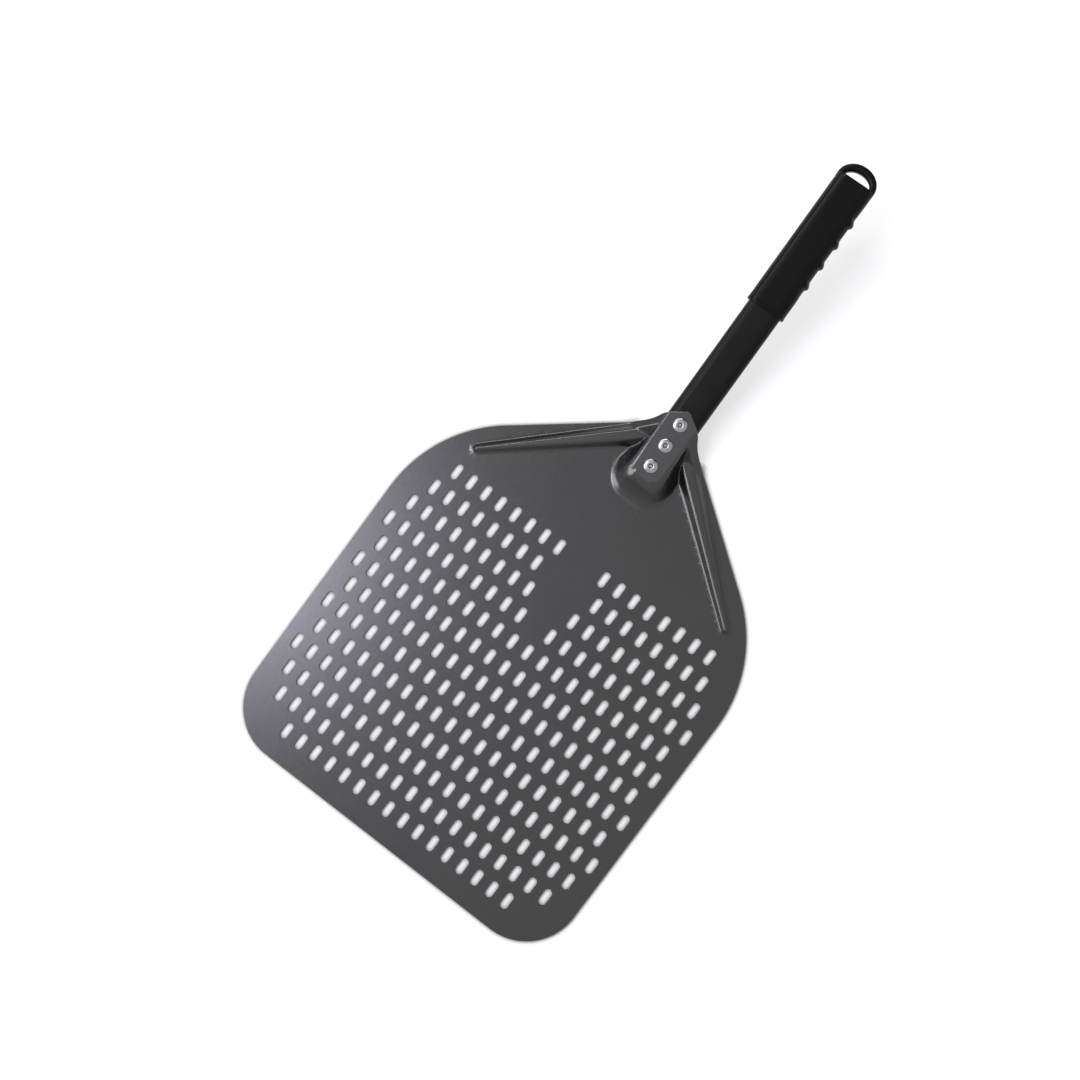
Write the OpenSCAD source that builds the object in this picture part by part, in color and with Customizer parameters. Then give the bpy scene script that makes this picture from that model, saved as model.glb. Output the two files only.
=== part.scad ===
// Perforated pizza peel: a pressed aluminium blade, riveted to a flat-sided oval tube
// that carries a moulded grip. The blade lies on its flat underside, and the handle
// rises from it at a shallow angle so that knuckles clear the worktop.
//
// Frame: +Y runs from the blade's front edge to the hanging eye, +X across the blade
// and +Z up. The origin is on the surface that the blade lies on, under the middle of
// the whole length.

/* [Overall] */
// Length from the blade's front edge to the end of the hanging eye
overall_len = 660; // [540:1:900]
// Width of the blade at its widest
blade_w = 330; // [270:1:400]
// Length of the blade, from its front edge to the point of its neck
blade_len = 426; // [390:1:480]
// Angle at which the handle rises from the blade
handle_rise = 8; // [4:0.5:12]

/* [Blade sheet] */
// Thickness of the sheet
sheet_t = 1.5; // [1:0.1:2]
// How much narrower the blade is at its front corners than at its widest
front_taper = 4.4; // [0:0.2:20]
// Radius of the front corners
front_r = 48; // [20:1:60]
// Radius where each side turns into a shoulder
shoulder_r = 120; // [60:1:125]
// Angle between a shoulder's straight edge and the width
shoulder_angle = 37.4; // [34:0.1:40]
// Radius of the hollow curve between a shoulder and the neck
neck_r = 30; // [15:1:35]
// How far the neck's corners lie behind its point, for each unit of their half width
neck_point_slope = 0.68; // [0.5:0.01:1]

/* [Perforations] */
// Length of a slot
slot_len = 14; // [8:0.5:16]
// Width of a slot
slot_w = 6.4; // [4:0.2:8]
// Distance between slots in a row
slot_pitch = 15; // [14:0.5:20]
// Distance between rows
row_pitch = 21; // [20:0.5:26]
// First row's middle, from the front edge
first_row = 25.8; // [20:0.1:30]
// Least distance from a slot's middle to the side of the blade
side_margin = 15; // [12:0.5:25]
// Distance from the neck's point to the end of the perforated field
field_to_neck = 141; // [135:1:150]
// Greatest half width of the plain tongue behind the middle slots
tongue_half_w = 20; // [15:0.5:30]

/* [Handle seat] */
// How much narrower the seat's flat top is than the tube
seat_top_less = 1.4; // [0:0.2:2]
// How much wider the seat is than the tube at the sheet, at its front end
seat_base_more = 23; // [18:0.5:30]
// How much wider the seat is than the tube at the sheet, under the neck's point
seat_neck_more = 14; // [10:0.5:18]
// Length of the seat's sloping front wall, in plan
seat_front_run = 16; // [10:0.5:18]
// Gap in the length between the front plug and the seat's front wall
seat_front_gap = 2.5; // [1:0.1:5]

/* [Shoulder ribs] */
// Height of a rib at its narrow end
rib_h_outer = 3.5; // [2:0.1:4.5]
// Height of a rib beside the neck
rib_h_inner = 7; // [4:0.1:8]
// Half width of a rib at the sheet, at its narrow end
rib_base_outer = 6.2; // [4.5:0.1:7]
// Half width of a rib at the sheet, beside the neck
rib_base_inner = 9.6; // [8:0.1:12]
// Half width of a rib's crest, at its narrow end
rib_crest_outer = 1.2; // [1.1:0.1:2]
// Half width of a rib's crest, beside the neck
rib_crest_inner = 3.8; // [1.5:0.1:4.5]
// Distance of a rib's wide end from the side of the tube
rib_tube_gap = 7.5; // [6:0.5:10]
// Distance of a rib's wide end from the neck's point, along the blade
rib_neck_gap = 34; // [30:1:38]
// Distance of a rib's narrow end from the side of the blade
rib_side_gap = 40; // [30:1:60]
// Distance of a rib's narrow end behind the middle of the shoulder curve
rib_end_rise = 66; // [60:1:72]

/* [Handle tube] */
// Width of the tube
tube_w = 30; // [24:0.5:36]
// Depth of the tube
tube_h = 15; // [12:0.5:18]
// Wall of the tube
tube_wall = 1.2; // [0.8:0.1:2]
// Distance from the neck's point to the tube's front end, in plan
tube_overlap = 61; // [58:0.5:70]
// Gap under the tube's front end, above the surface that the blade lies on
tube_floor_gap = 0.5; // [0.4:0.1:3]

/* [Front plug] */
// Thickness of the plug's cap
plug_cap_t = 1.2; // [0.8:0.1:2]
// Length of the plug inside the tube
plug_depth = 5; // [3:0.5:5.5]
// How far the plug's cap stays inside the tube's outline
plug_inset = 0.6; // [0.2:0.1:1.5]
// Clearance between the plug and the tube's inner wall, on each side
plug_clearance = 0.05; // [0.05:0.05:0.2]

/* [Grip] */
// Length of the grip, with its hanging eye
grip_len = 135; // [110:1:160]
// Thickness of the grip around the tube
grip_wall = 2; // [1.5:0.1:4]
// Clearance between the grip and the tube, on each side
grip_clearance = 0.1; // [0.05:0.05:0.3]
// Width of the band at each side of the hanging eye
eye_band = 5.6; // [4:0.1:7]
// Distance from the grip's solid end to the tip of the hanging eye
eye_rise = 13.8; // [11:0.1:17]
// Depth of the hanging eye's opening, along the grip
eye_hole_rise = 7; // [5.5:0.1:7.5]
// Thickness of the band around the hanging eye
eye_t = 9; // [6:0.5:15]
// Solid end of the grip, between the tube and the hanging eye
grip_end_wall = 6; // [3:0.5:12]
// Number of finger bumps
bump_count = 4; // [2:1:4]
// Distance between finger bumps
bump_pitch = 19.5; // [16:0.5:22]
// Radius of a finger bump
bump_r = 3.6; // [3:0.1:5]
// How far a finger bump stands out of the grip's side
bump_out = 1.6; // [1:0.1:2.5]
// Distance from the end of the hanging eye to the first bump
bump_to_end = 44; // [36:1:50]

/* [Rivets] */
// Distance between rivets
rivet_pitch = 20; // [15:0.5:20.5]
// First rivet's middle, from the tube's front end
first_rivet = 10.5; // [10:0.5:12]
// Diameter of a rivet's shank
rivet_d = 4.8; // [4:0.1:6]
// Clearance of a rivet's hole around its shank, on the diameter
rivet_hole_gap = 0.1; // [0.05:0.05:0.3]
// Diameter of a rivet's head
rivet_head_d = 12; // [9:0.5:14]
// Height of a rivet's head
rivet_head_h = 1.9; // [1.2:0.1:2.5]
// Diameter of the mouth that the stem was pulled through
rivet_mouth_d = 3.8; // [3.4:0.1:4.5]
// Depth of that mouth
rivet_mouth_depth = 0.9; // [0.5:0.1:1.2]
// Diameter of the bulb that the rivet forms inside the tube
bulb_d = 7.2; // [6.5:0.1:8]
// Length of that bulb
bulb_len = 5; // [4:0.1:5.5]
// Diameter of the stem left in a rivet
stem_d = 2.7; // [2:0.1:2.9]
// Clearance of the stem in its rivet, on the diameter
stem_gap = 0.1; // [0.05:0.05:0.3]
// Diameter of the stem's head, behind the bulb
stem_head_d = 4.4; // [3.5:0.1:5]
// Thickness of the stem's head
stem_head_t = 1.4; // [0.8:0.1:2]

/* [Hidden] */
$fn = 64;

anodised = [0.30, 0.30, 0.31];
black = [0.10, 0.10, 0.10];
bright = [0.80, 0.80, 0.82];
steel = [0.45, 0.45, 0.46];

cut = 1;                                    // how far a cutter runs past what it cuts
hull_fn = 32;                               // sides of the discs that the pressed shapes are hulled from
skin = 0.01;                                // thickness of a disc that stands for a flat outline in a hull
fold = sheet_t * tan(22.5);                 // how much smaller a pressed shape is on the sheet's underside

// Outline of the blade, from the front edge at y = 0 to the neck's point
half_w = blade_w / 2;
front_half = half_w - front_taper / 2;
tube_half = tube_w / 2;
shoulder_out = [sin(shoulder_angle), cos(shoulder_angle)];       // square to a shoulder, away from the blade
neck_fillet_x = tube_half + neck_r;
shoulder_reach = [neck_fillet_x, blade_len] * shoulder_out - neck_r;
shoulder_cx = half_w - shoulder_r;
shoulder_cy = (shoulder_reach - shoulder_r - shoulder_cx * shoulder_out[0]) / shoulder_out[1];
side_flare = atan((half_w - front_half) / (shoulder_cy - front_r));
arc_steps = 24;                             // straight steps in each of the outline's arcs

// Perforated field
field_end = blade_len - field_to_neck;
field_half = half_w - side_margin;
front_cut = 60;                             // ahead of here, the field's corners are cut at 45 degrees
rear_cut_len = 60;                          // the field narrows over this length of its rear
rear_cut_slope = 0.4;                       // narrowing on each side, for each unit of that length
tongue_len = 80;                            // the plain tongue takes this length of the field
tongue_slope = 0.5;                         // widening on each side, for each unit of that length
row_count = floor((field_end - first_row) / row_pitch) + 1;
slots_each_side = ceil(field_half / slot_pitch);

// The handle's own frame: y along the tube from its front end, z up from its underside
tube_y = blade_len - tube_overlap;
seat_z = tube_h;                            // underside of the seat's flat top
seat_top_z = tube_h + sheet_t;
plateau_front = -(plug_cap_t + seat_front_gap);
plateau_r = 4;                              // radius of the flat top's corners
seat_r = 12;                                // radius of the seat's front corners at the sheet
seat_base_y = tube_y + plateau_front * cos(handle_rise) - seat_top_z * sin(handle_rise) - seat_front_run;
trim_h = 60;                                // taller than any pressed shape
past_neck = 20;                             // the seat's flat top runs on this far past the neck's point
plateau_len = tube_overlap + past_neck;
handle_len = (overall_len - tube_y + (tube_h - eye_t) / 2 * sin(handle_rise)) / cos(handle_rise);
grip_start = handle_len - grip_len;
grip_half = tube_half + grip_wall;
grip_h = tube_h + 2 * grip_wall;
eye_base = handle_len - eye_rise;           // the grip's solid end
tube_end = eye_base - grip_end_wall;
inner_face = tube_h - tube_wall;            // underside of the tube's top wall
bump_h = grip_h / 2;                        // the bumps take the middle half of the grip's depth
rivet_count = 3;
head_edge = 0.4;                            // height of a rivet head's upright edge
bulb_bevel = 1;
bulb_end = inner_face - bulb_len;

// Shoulder ribs, for the +X side
rib_outer = [half_w - rib_side_gap, shoulder_cy + rib_end_rise];
rib_inner = [tube_half + rib_tube_gap, blade_len - rib_neck_gap];

function arc(centre, radius, from, to) =
    [for (k = [0:arc_steps]) centre + radius * [cos(from + (to - from) * k / arc_steps),
                                                sin(from + (to - from) * k / arc_steps)]];

// Half width of the perforated field in a row, and of the plain tongue in its middle
function field_reach(y) =
    field_half - max(0, front_cut - y) - max(0, y - field_end + rear_cut_len) * rear_cut_slope;
function tongue_reach(y) = min((y - field_end + tongue_len) * tongue_slope, tongue_half_w);

// Everything is drawn with the front edge at y = 0, and moved here to the frame's origin
module in_frame() {
    translate([0, -overall_len / 2, 0]) children();
}

// Places children in the handle's own frame
module on_handle() {
    translate([0, tube_y, tube_floor_gap]) rotate([handle_rise, 0, 0]) children();
}

// An upright stadium in the XZ plane, extruded along +Y
module oval_bar(width, height, length) {
    translate([0, 0, tube_h / 2]) rotate([-90, 0, 0]) linear_extrude(height = length) {
        square([width - height, height], center = true);
        for (side = [-1, 1]) translate([side * (width - height) / 2, 0]) circle(d = height);
    }
}

module blade_outline() {
    right_side = concat(
        arc([front_half - front_r, front_r], front_r, -90, -side_flare),
        arc([shoulder_cx, shoulder_cy], shoulder_r, -side_flare, 90 - shoulder_angle),
        arc([neck_fillet_x, blade_len], neck_r, 270 - shoulder_angle, 180));
    left_side = [for (k = [len(right_side) - 1:-1:0]) [-right_side[k][0], right_side[k][1]]];
    intersection() {
        polygon(concat(right_side, left_side));
        polygon([[0, blade_len], [-blade_w, blade_len - neck_point_slope * blade_w], [-blade_w, -cut],
                 [blade_w, -cut], [blade_w, blade_len - neck_point_slope * blade_w]]);
    }
}

module slot() {
    translate([0, 0, -cut]) linear_extrude(height = sheet_t + 2 * cut) {
        square([slot_w, slot_len - slot_w], center = true);
        for (end = [-1, 1]) translate([0, end * (slot_len - slot_w) / 2]) circle(d = slot_w, $fn = 24);
    }
}

// Staggered slots: every other row is shifted by half a pitch
module slots() {
    for (row = [0:row_count - 1]) {
        y = first_row + row * row_pitch;
        shift = (row % 2 == 0) ? slot_pitch / 2 : 0;
        for (k = [-slots_each_side:slots_each_side]) {
            x = k * slot_pitch + shift;
            if (abs(x) <= field_reach(y) && abs(x) > tongue_reach(y)) translate([x, y, 0]) slot();
        }
    }
}

// The seat's pressed shape. inset shrinks it and drop lowers it, for the sheet's underside.
module seat_shape(inset, drop) {
    front_x = (tube_w + seat_base_more) / 2 - seat_r;
    neck_x = (tube_w + seat_neck_more) / 2 - plateau_r;
    top_x = (tube_w - seat_top_less) / 2 - plateau_r;
    hull() {
        for (side = [-1, 1]) {
            translate([side * front_x, seat_base_y + seat_r, -drop])
                cylinder(r = seat_r - inset, h = sheet_t, $fn = hull_fn);
            translate([side * neck_x, blade_len, -drop])
                cylinder(r = plateau_r - inset, h = sheet_t, $fn = hull_fn);
            on_handle() {
                translate([side * top_x, plateau_front + plateau_r, seat_top_z - drop - skin])
                    cylinder(r = plateau_r - inset, h = skin, $fn = hull_fn);
                translate([side * top_x, plateau_len, seat_top_z - drop - skin])
                    cylinder(r = plateau_r - inset, h = skin, $fn = hull_fn);
            }
        }
    }
}

// One tapered rib's pressed shape, on the side given
module rib_shape(side, inset, drop) {
    crest_z = sheet_t - drop - skin;
    hull() {
        translate([side * rib_outer[0], rib_outer[1], -drop])
            cylinder(r = rib_base_outer - inset, h = sheet_t, $fn = hull_fn);
        translate([side * rib_outer[0], rib_outer[1], crest_z + rib_h_outer])
            cylinder(r = rib_crest_outer - inset, h = skin, $fn = hull_fn);
        translate([side * rib_inner[0], rib_inner[1], -drop])
            cylinder(r = rib_base_inner - inset, h = sheet_t, $fn = hull_fn);
        translate([side * rib_inner[0], rib_inner[1], crest_z + rib_h_inner])
            cylinder(r = rib_crest_inner - inset, h = skin, $fn = hull_fn);
    }
}

// Pressed shapes together, for one face of the sheet
module pressed_shapes(inset, drop) {
    seat_shape(inset, drop);
    for (side = [-1, 1]) rib_shape(side, inset, drop);
}

// Places children on the axis of one rivet, counted from the front
module on_rivet(number) {
    on_handle() translate([0, first_rivet + (number - 1) * rivet_pitch, 0]) children();
}

module rivet_holes(from, height) {
    for (number = [1:rivet_count])
        on_rivet(number) translate([0, 0, from]) cylinder(d = rivet_d + rivet_hole_gap, h = height);
}

module blade() {
    color(anodised) in_frame() difference() {
        intersection() {
            linear_extrude(height = trim_h) blade_outline();
            union() {
                translate([-blade_w, -cut, 0]) cube([2 * blade_w, blade_len + 2 * cut, sheet_t]);
                pressed_shapes(0, 0);
            }
        }
        pressed_shapes(fold, sheet_t);
        slots();
        rivet_holes(seat_z - cut, sheet_t + 2 * cut);
    }
}

module handle_tube() {
    color(black) in_frame() difference() {
        on_handle() oval_bar(tube_w, tube_h, tube_end);
        on_handle() translate([0, -cut, 0])
            oval_bar(tube_w - 2 * tube_wall, tube_h - 2 * tube_wall, tube_end + 2 * cut);
        rivet_holes(inner_face - cut, tube_wall + 2 * cut);
    }
}

module front_plug() {
    inner_w = tube_w - 2 * (tube_wall + plug_clearance);
    inner_h = tube_h - 2 * (tube_wall + plug_clearance);
    color(black) in_frame() on_handle() {
        translate([0, -plug_cap_t, 0]) oval_bar(tube_w - 2 * plug_inset, tube_h - 2 * plug_inset, plug_cap_t);
        translate([0, -skin, 0]) oval_bar(inner_w, inner_h, plug_depth + skin);
    }
}

module grip() {
    color(black) in_frame() on_handle() difference() {
        union() {
            translate([0, grip_start, 0]) oval_bar(2 * grip_half, grip_h, eye_base - grip_start);
            translate([0, eye_base, (tube_h - eye_t) / 2]) eye_loop();
            for (k = [0:bump_count - 1])
                translate([grip_half + bump_out - bump_r, handle_len - bump_to_end - k * bump_pitch,
                           (tube_h - bump_h) / 2])
                    cylinder(r = bump_r, h = bump_h);
        }
        translate([0, grip_start - cut, 0])
            oval_bar(tube_w + 2 * grip_clearance, tube_h + 2 * grip_clearance, tube_end - grip_start + cut);
    }
}

// Half of an oval, on a foot that runs one cut below its flat side
function half_oval(half_width, rise) = concat(
    [[half_width, -cut]],
    [for (k = [0:arc_steps]) [half_width * cos(180 * k / arc_steps), rise * sin(180 * k / arc_steps)]],
    [[-half_width, -cut]]);

// Band around the hanging eye, its ends just inside the grip's end face
module eye_loop() {
    linear_extrude(height = eye_t) difference() {
        polygon(half_oval(grip_half, eye_rise));
        polygon(half_oval(grip_half - eye_band, eye_hole_rise));
    }
}

// A pulled blind rivet: domed head, shank and the bulb that it forms inside the tube
module rivet_shell(number) {
    bore_r = (stem_d + stem_gap) / 2;
    mouth_r = rivet_mouth_d / 2;
    dome_rise = rivet_head_h - head_edge;
    mouth_z = seat_top_z + rivet_head_h - rivet_mouth_depth;
    dome = [for (a = [0:15:90]) [mouth_r + (rivet_head_d / 2 - mouth_r) * cos(a),
                                 seat_top_z + head_edge + dome_rise * sin(a)]];
    color(bright) in_frame() on_rivet(number) rotate_extrude() polygon(concat(
        [[bore_r, bulb_end], [bulb_d / 2 - bulb_bevel, bulb_end],
         [bulb_d / 2, bulb_end + bulb_bevel], [bulb_d / 2, inner_face],
         [rivet_d / 2, inner_face], [rivet_d / 2, seat_top_z], [rivet_head_d / 2, seat_top_z]],
        dome,
        [[mouth_r, mouth_z], [bore_r, mouth_z]]));
}

// What is left of the stem that pulled the rivet tight: its head lies against the bulb
module rivet_stem(number) {
    stem_top = seat_top_z + rivet_head_h - rivet_mouth_depth / 2;
    color(steel) in_frame() on_rivet(number) {
        translate([0, 0, bulb_end - skin]) cylinder(d = stem_d, h = stem_top - bulb_end + skin);
        translate([0, 0, bulb_end - stem_head_t]) cylinder(d = stem_head_d, h = stem_head_t);
    }
}

blade();
handle_tube();
front_plug();
grip();
rivet_shell(1);  // rivet_shell_1
rivet_shell(2);  // rivet_shell_2
rivet_shell(3);  // rivet_shell_3
rivet_stem(1);  // rivet_stem_1
rivet_stem(2);  // rivet_stem_2
rivet_stem(3);  // rivet_stem_3
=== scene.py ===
"""Looks of a perforated pizza peel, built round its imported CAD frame.

Shapes are worked out in millimetres and scaled to metres when a mesh is made. The blade is drawn
with its front edge at y = 0; the tube, grip and rivets in the handle's own frame, whose y axis runs
along the tube from its front end and whose z axis rises from the tube's underside.
"""

import math

import bpy
import numpy as np
from mathutils import Matrix, Vector
from mathutils.geometry import delaunay_2d_cdt


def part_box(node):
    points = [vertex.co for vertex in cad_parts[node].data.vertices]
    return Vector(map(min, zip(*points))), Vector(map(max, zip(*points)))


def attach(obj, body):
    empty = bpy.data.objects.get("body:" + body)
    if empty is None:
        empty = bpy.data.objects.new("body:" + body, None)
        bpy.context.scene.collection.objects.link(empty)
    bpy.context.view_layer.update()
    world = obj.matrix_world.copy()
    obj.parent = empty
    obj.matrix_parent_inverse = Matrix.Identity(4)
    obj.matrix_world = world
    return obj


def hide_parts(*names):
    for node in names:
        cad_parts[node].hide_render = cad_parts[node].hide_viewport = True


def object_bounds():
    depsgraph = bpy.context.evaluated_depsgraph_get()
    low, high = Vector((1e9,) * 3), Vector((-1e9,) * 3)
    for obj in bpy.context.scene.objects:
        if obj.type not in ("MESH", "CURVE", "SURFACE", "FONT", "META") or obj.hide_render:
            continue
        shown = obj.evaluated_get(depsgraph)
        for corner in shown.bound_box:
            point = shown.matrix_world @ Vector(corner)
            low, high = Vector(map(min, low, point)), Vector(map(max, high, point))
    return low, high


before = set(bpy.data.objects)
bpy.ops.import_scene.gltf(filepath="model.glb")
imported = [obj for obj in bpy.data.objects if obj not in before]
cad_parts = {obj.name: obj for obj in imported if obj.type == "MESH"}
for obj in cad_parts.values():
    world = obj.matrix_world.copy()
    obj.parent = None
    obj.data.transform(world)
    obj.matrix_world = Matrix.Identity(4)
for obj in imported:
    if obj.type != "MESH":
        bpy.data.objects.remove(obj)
cad_low, cad_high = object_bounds()

MM = 0.001


def box_mm(node):
    low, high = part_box(node)
    return np.array(low) / MM, np.array(high) / MM


# ---------------------------------------------------------------- sizes, in millimetres

BLADE_LOW, BLADE_HIGH = box_mm("blade")
TUBE_LOW, TUBE_HIGH = box_mm("handle_tube")
FRONT_Y = BLADE_LOW[1]
BLADE_LEN = BLADE_HIGH[1] - FRONT_Y
HALF_W = BLADE_HIGH[0]

SHEET_T = 1.5
FRONT_TAPER = 4.4
FRONT_R = 48.0
SHOULDER_R = 120.0
SHOULDER_ANGLE = math.radians(37.4)
NECK_R = 30.0
NECK_POINT_SLOPE = 0.68
RIM_R = 0.6                      # rounding of the sheet's outer edge
PUNCH_R = 0.35                   # rounding of a slot's edges
WORN_TILT = 0.4                  # an edge is worn where its normal leans further up or down than this

SLOT_LEN = 14.0
SLOT_W = 6.4
SLOT_HALF_RUN = (SLOT_LEN - SLOT_W) / 2
SLOT_PITCH = 15.0
ROW_PITCH = 21.0
FIRST_ROW = 25.8
SIDE_MARGIN = 15.0
PLAIN_LEN = 141.0                # from the field of slots to the neck's point
FIELD_END = BLADE_LEN - PLAIN_LEN
FRONT_CUT = 60.0                 # the field is narrower up to here, at the blade's front corners
REAR_CUT_LEN = 60.0              # and over this length at its rear corners
REAR_CUT = FIELD_END - REAR_CUT_LEN
REAR_CUT_SLOPE = 0.4
TONGUE_LEN = 80.0                # the plain tongue between the slots, before the neck
TONGUE_START = FIELD_END - TONGUE_LEN
TONGUE_SLOPE = 0.5
TONGUE_HALF_W = 20.0

TUBE_W = TUBE_HIGH[0] - TUBE_LOW[0]
TUBE_H = 15.0
TUBE_WALL = 1.2
TUBE_HALF = TUBE_W / 2
RISE = math.radians(8.0)
TUBE_Y = TUBE_LOW[1] + TUBE_H * math.sin(RISE) - FRONT_Y
FLOOR_GAP = TUBE_LOW[2]

SEAT_TOP_HALF = 14.3
SEAT_BASE_AT = np.array([0.0, 6.0, 16.0, 26.0, 36.0])       # behind the start of the seat's flat top
SEAT_BASE_HALF = [26.0, 26.3, 24.2, 21.0, 19.5]
SEAT_FRONT_RUN = 16.0
SEAT_CORNER_R = 7.0
SEAT_FRONT = -3.7                # the seat's flat top starts here, along the handle
SEAT_TOP_Z = TUBE_H + SHEET_T
SEAT_TOP_Y = TUBE_Y - SEAT_TOP_Z * math.sin(RISE)
SEAT_FOLD = 0.24                 # rounding of the top's edge, as a share of the wall's height
SEAT_CORNER_FOLD = 0.2           # added to it at the front corners
SEAT_FOOT_FOLD = 0.22
NECK_RIDGE_Y = 405.0
NECK_FRONT_SLOPE = 0.95
NECK_SIDE_SLOPE = 0.8
NECK_STEP = 1.2                  # the slopes start this far under the seat's top
NECK_FOLD = 1.2
NECK_FOOT_FOLD = 2.5

RIB_OUTER = np.array([HALF_W - 40.0, 303.2])                # ends of the right rib's middle line
RIB_INNER = np.array([TUBE_HALF + 7.5, BLADE_LEN - 34.0])
RIB_BASE = (4.2, 9.6)            # half widths at the sheet, at the outer and inner ends
RIB_CREST = (0.7, 4.2)           # half widths at the top
RIB_H = (3.5, 7.0)
RIB_FOLD = 0.26                  # rounding of a rib's edges, as a share of its height
RIB_TO_NECK = 1.4                # filling of the valleys between the ribs and the neck's slopes
NECK_TO_SEAT = 1.6

# How fine the blade's mesh is
OUTLINE_STEP = 1.2
PRESSED_STEP = 0.93
FLAT_STEP = 5.0
PRESSED_START = RIB_OUTER[1] - 12.0
PRESSED_GAP = 0.45               # least distance of the points inside from the outline
FLAT_GAP = 1.5
SLOT_GAP = 1.6                   # and from the slots
LEAST_RISE = 1e-6                # where the sheet rises less, it is flat
LEAST_AREA = 0.001               # a smaller triangle is a sliver between points in a line

GRIP_LEN = 135.0
GRIP_WALL = 2.0
GRIP_HALF = TUBE_HALF + GRIP_WALL
GRIP_H = TUBE_H + 2 * GRIP_WALL
EYE_BAND = 5.6
EYE_RISE = 13.8
EYE_HOLE_RISE = 7.0
EYE_T = 9.0
EYE_LOW_Z = (TUBE_H - EYE_T) / 2
GRIP_END_WALL = 6.0
OVERALL_LEN = (cad_high[1] - cad_low[1]) / MM
HANDLE_LEN = (OVERALL_LEN - TUBE_Y + EYE_LOW_Z * math.sin(RISE)) / math.cos(RISE)
GRIP_START = HANDLE_LEN - GRIP_LEN
EYE_BASE = HANDLE_LEN - EYE_RISE
TUBE_END = EYE_BASE - GRIP_END_WALL
BUMP_COUNT = 4
BUMP_PITCH = 19.5
BUMP_TO_END = 44.0
BUMP_OUT = 1.6
BUMP_REAR = (5.0, 1.0)           # a bump's run and fullness, on the side towards the eye
BUMP_FRONT = (2.3, 0.6)
BUMP_DIP = 0.4                   # the edge lies this much deeper between the bumps
BUMP_DIP_REACH = (6.0, 14.0)     # all of it so far from the outer bumps, and none so far
BUMP_FACING = (0.45, 0.35)       # they start where the edge turns this far sideways, and grow over so much
GRIP_LIP = 0.3
GRIP_LIP_REACH = (1.5, 4.0)
GRIP_POINTS = 128                # round a ring of the grip

RIVETS = (1, 2, 3)
FIRST_RIVET = 10.5
RIVET_PITCH = 20.0
RIVET_D = 4.8
HEAD_D = 12.0
HEAD_H = 1.9
MOUTH_R = 1.9
MOUTH_DEPTH = 0.9
BULB_D = 7.2
BULB_LEN = 5.0
STEM_D = 2.7
STEM_GAP = 0.1
STEM_HEAD_D = 4.4
STEM_HEAD_T = 1.4
INNER_FACE = TUBE_H - TUBE_WALL
BULB_END = INNER_FACE - BULB_LEN

# The handle's own frame, in metres
HANDLE = Matrix.Translation(Vector((0, TUBE_Y + FRONT_Y, FLOOR_GAP)) * MM) @ Matrix.Rotation(RISE, 4, "X")


# ---------------------------------------------------------------- mesh helpers

def make_object(name, points_mm, faces, material, matrix=Matrix.Identity(4), normals=None):
    """A smooth-shaded piece of the object, from points in millimetres."""
    mesh = bpy.data.meshes.new(name)
    mesh.from_pydata([tuple(p) for p in np.asarray(points_mm) * MM], [], faces)
    mesh.polygons.foreach_set("use_smooth", [True] * len(mesh.polygons))
    if normals is not None:
        mesh.normals_split_custom_set_from_vertices([tuple(n) for n in normals])
    mesh.transform(matrix)
    mesh.update()
    piece = bpy.data.objects.new(name, mesh)
    bpy.context.scene.collection.objects.link(piece)
    mesh.materials.append(material)
    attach(piece, "root")
    return piece


def loft(rings, hollow=False):
    """Points and faces of a closed shape through rings of equally many points.

    The ends are capped, or, on a hollow shape whose rings come back on the inside, joined.
    """
    count = len(rings[0])
    points = np.concatenate(rings)
    faces = []
    for k in range(len(rings) - (not hollow)):
        here, there = k * count, (k + 1) % len(rings) * count
        for i in range(count):
            j = (i + 1) % count
            faces.append((here + i, here + j, there + j, there + i))
    if not hollow:
        faces.append(tuple(reversed(range(count))))
        faces.append(tuple(range((len(rings) - 1) * count, len(rings) * count)))
    return points, faces


def lathe(profile, segments=64):
    """A closed profile of (radius, height) points, anticlockwise, turned about the z axis."""
    radius, height = np.asarray(profile, float).T
    turns = -np.arange(segments) * math.tau / segments
    rings = [np.stack([radius * math.cos(a), radius * math.sin(a), height], 1) for a in turns]
    return loft(rings, hollow=True)


def arc(cx, cy, radius, start, end, step):
    """Points along an arc, about step apart, angles in radians."""
    count = max(2, int(abs(end - start) * radius / step) + 1)
    a = np.linspace(start, end, count)
    return np.stack([cx + radius * np.cos(a), cy + radius * np.sin(a)], 1)


def resample(loop, step):
    """A closed polyline with its points evenly spaced."""
    closed = np.vstack([loop, loop[:1]])
    lengths = np.hypot(*np.diff(closed, axis=0).T)
    along = np.concatenate([[0], np.cumsum(lengths)])
    at = np.linspace(0, along[-1], int(along[-1] / step), endpoint=False)
    return np.stack([np.interp(at, along, closed[:, k]) for k in (0, 1)], 1)


def soften(loop, reach):
    """A closed polyline with its corners rounded by averaging each point with its neighbours."""
    shifts = range(-reach, reach + 1)
    return sum(np.roll(loop, k, axis=0) for k in shifts) / len(shifts)


def loop_normals(loop):
    """Outward unit normals of a closed polyline that runs anticlockwise."""
    along = np.roll(loop, -1, axis=0) - np.roll(loop, 1, axis=0)
    normals = np.stack([along[:, 1], -along[:, 0]], 1)
    return normals / np.hypot(*normals.T)[:, None]


# ---------------------------------------------------------------- blade

def smooth_min(a, b, k):
    """The lower of two values, rounded where they are within k of each other."""
    h = np.maximum(k - np.abs(a - b), 0) / k
    return np.minimum(a, b) - h * h * k / 4


def smooth_max(a, b, k):
    return -smooth_min(-a, -b, k)


def merge(a, b, k):
    """The higher of two rises, with the valley between them filled; flat where both are nothing."""
    return smooth_max(a, b, np.clip(a + b, LEAST_RISE, k))


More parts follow.
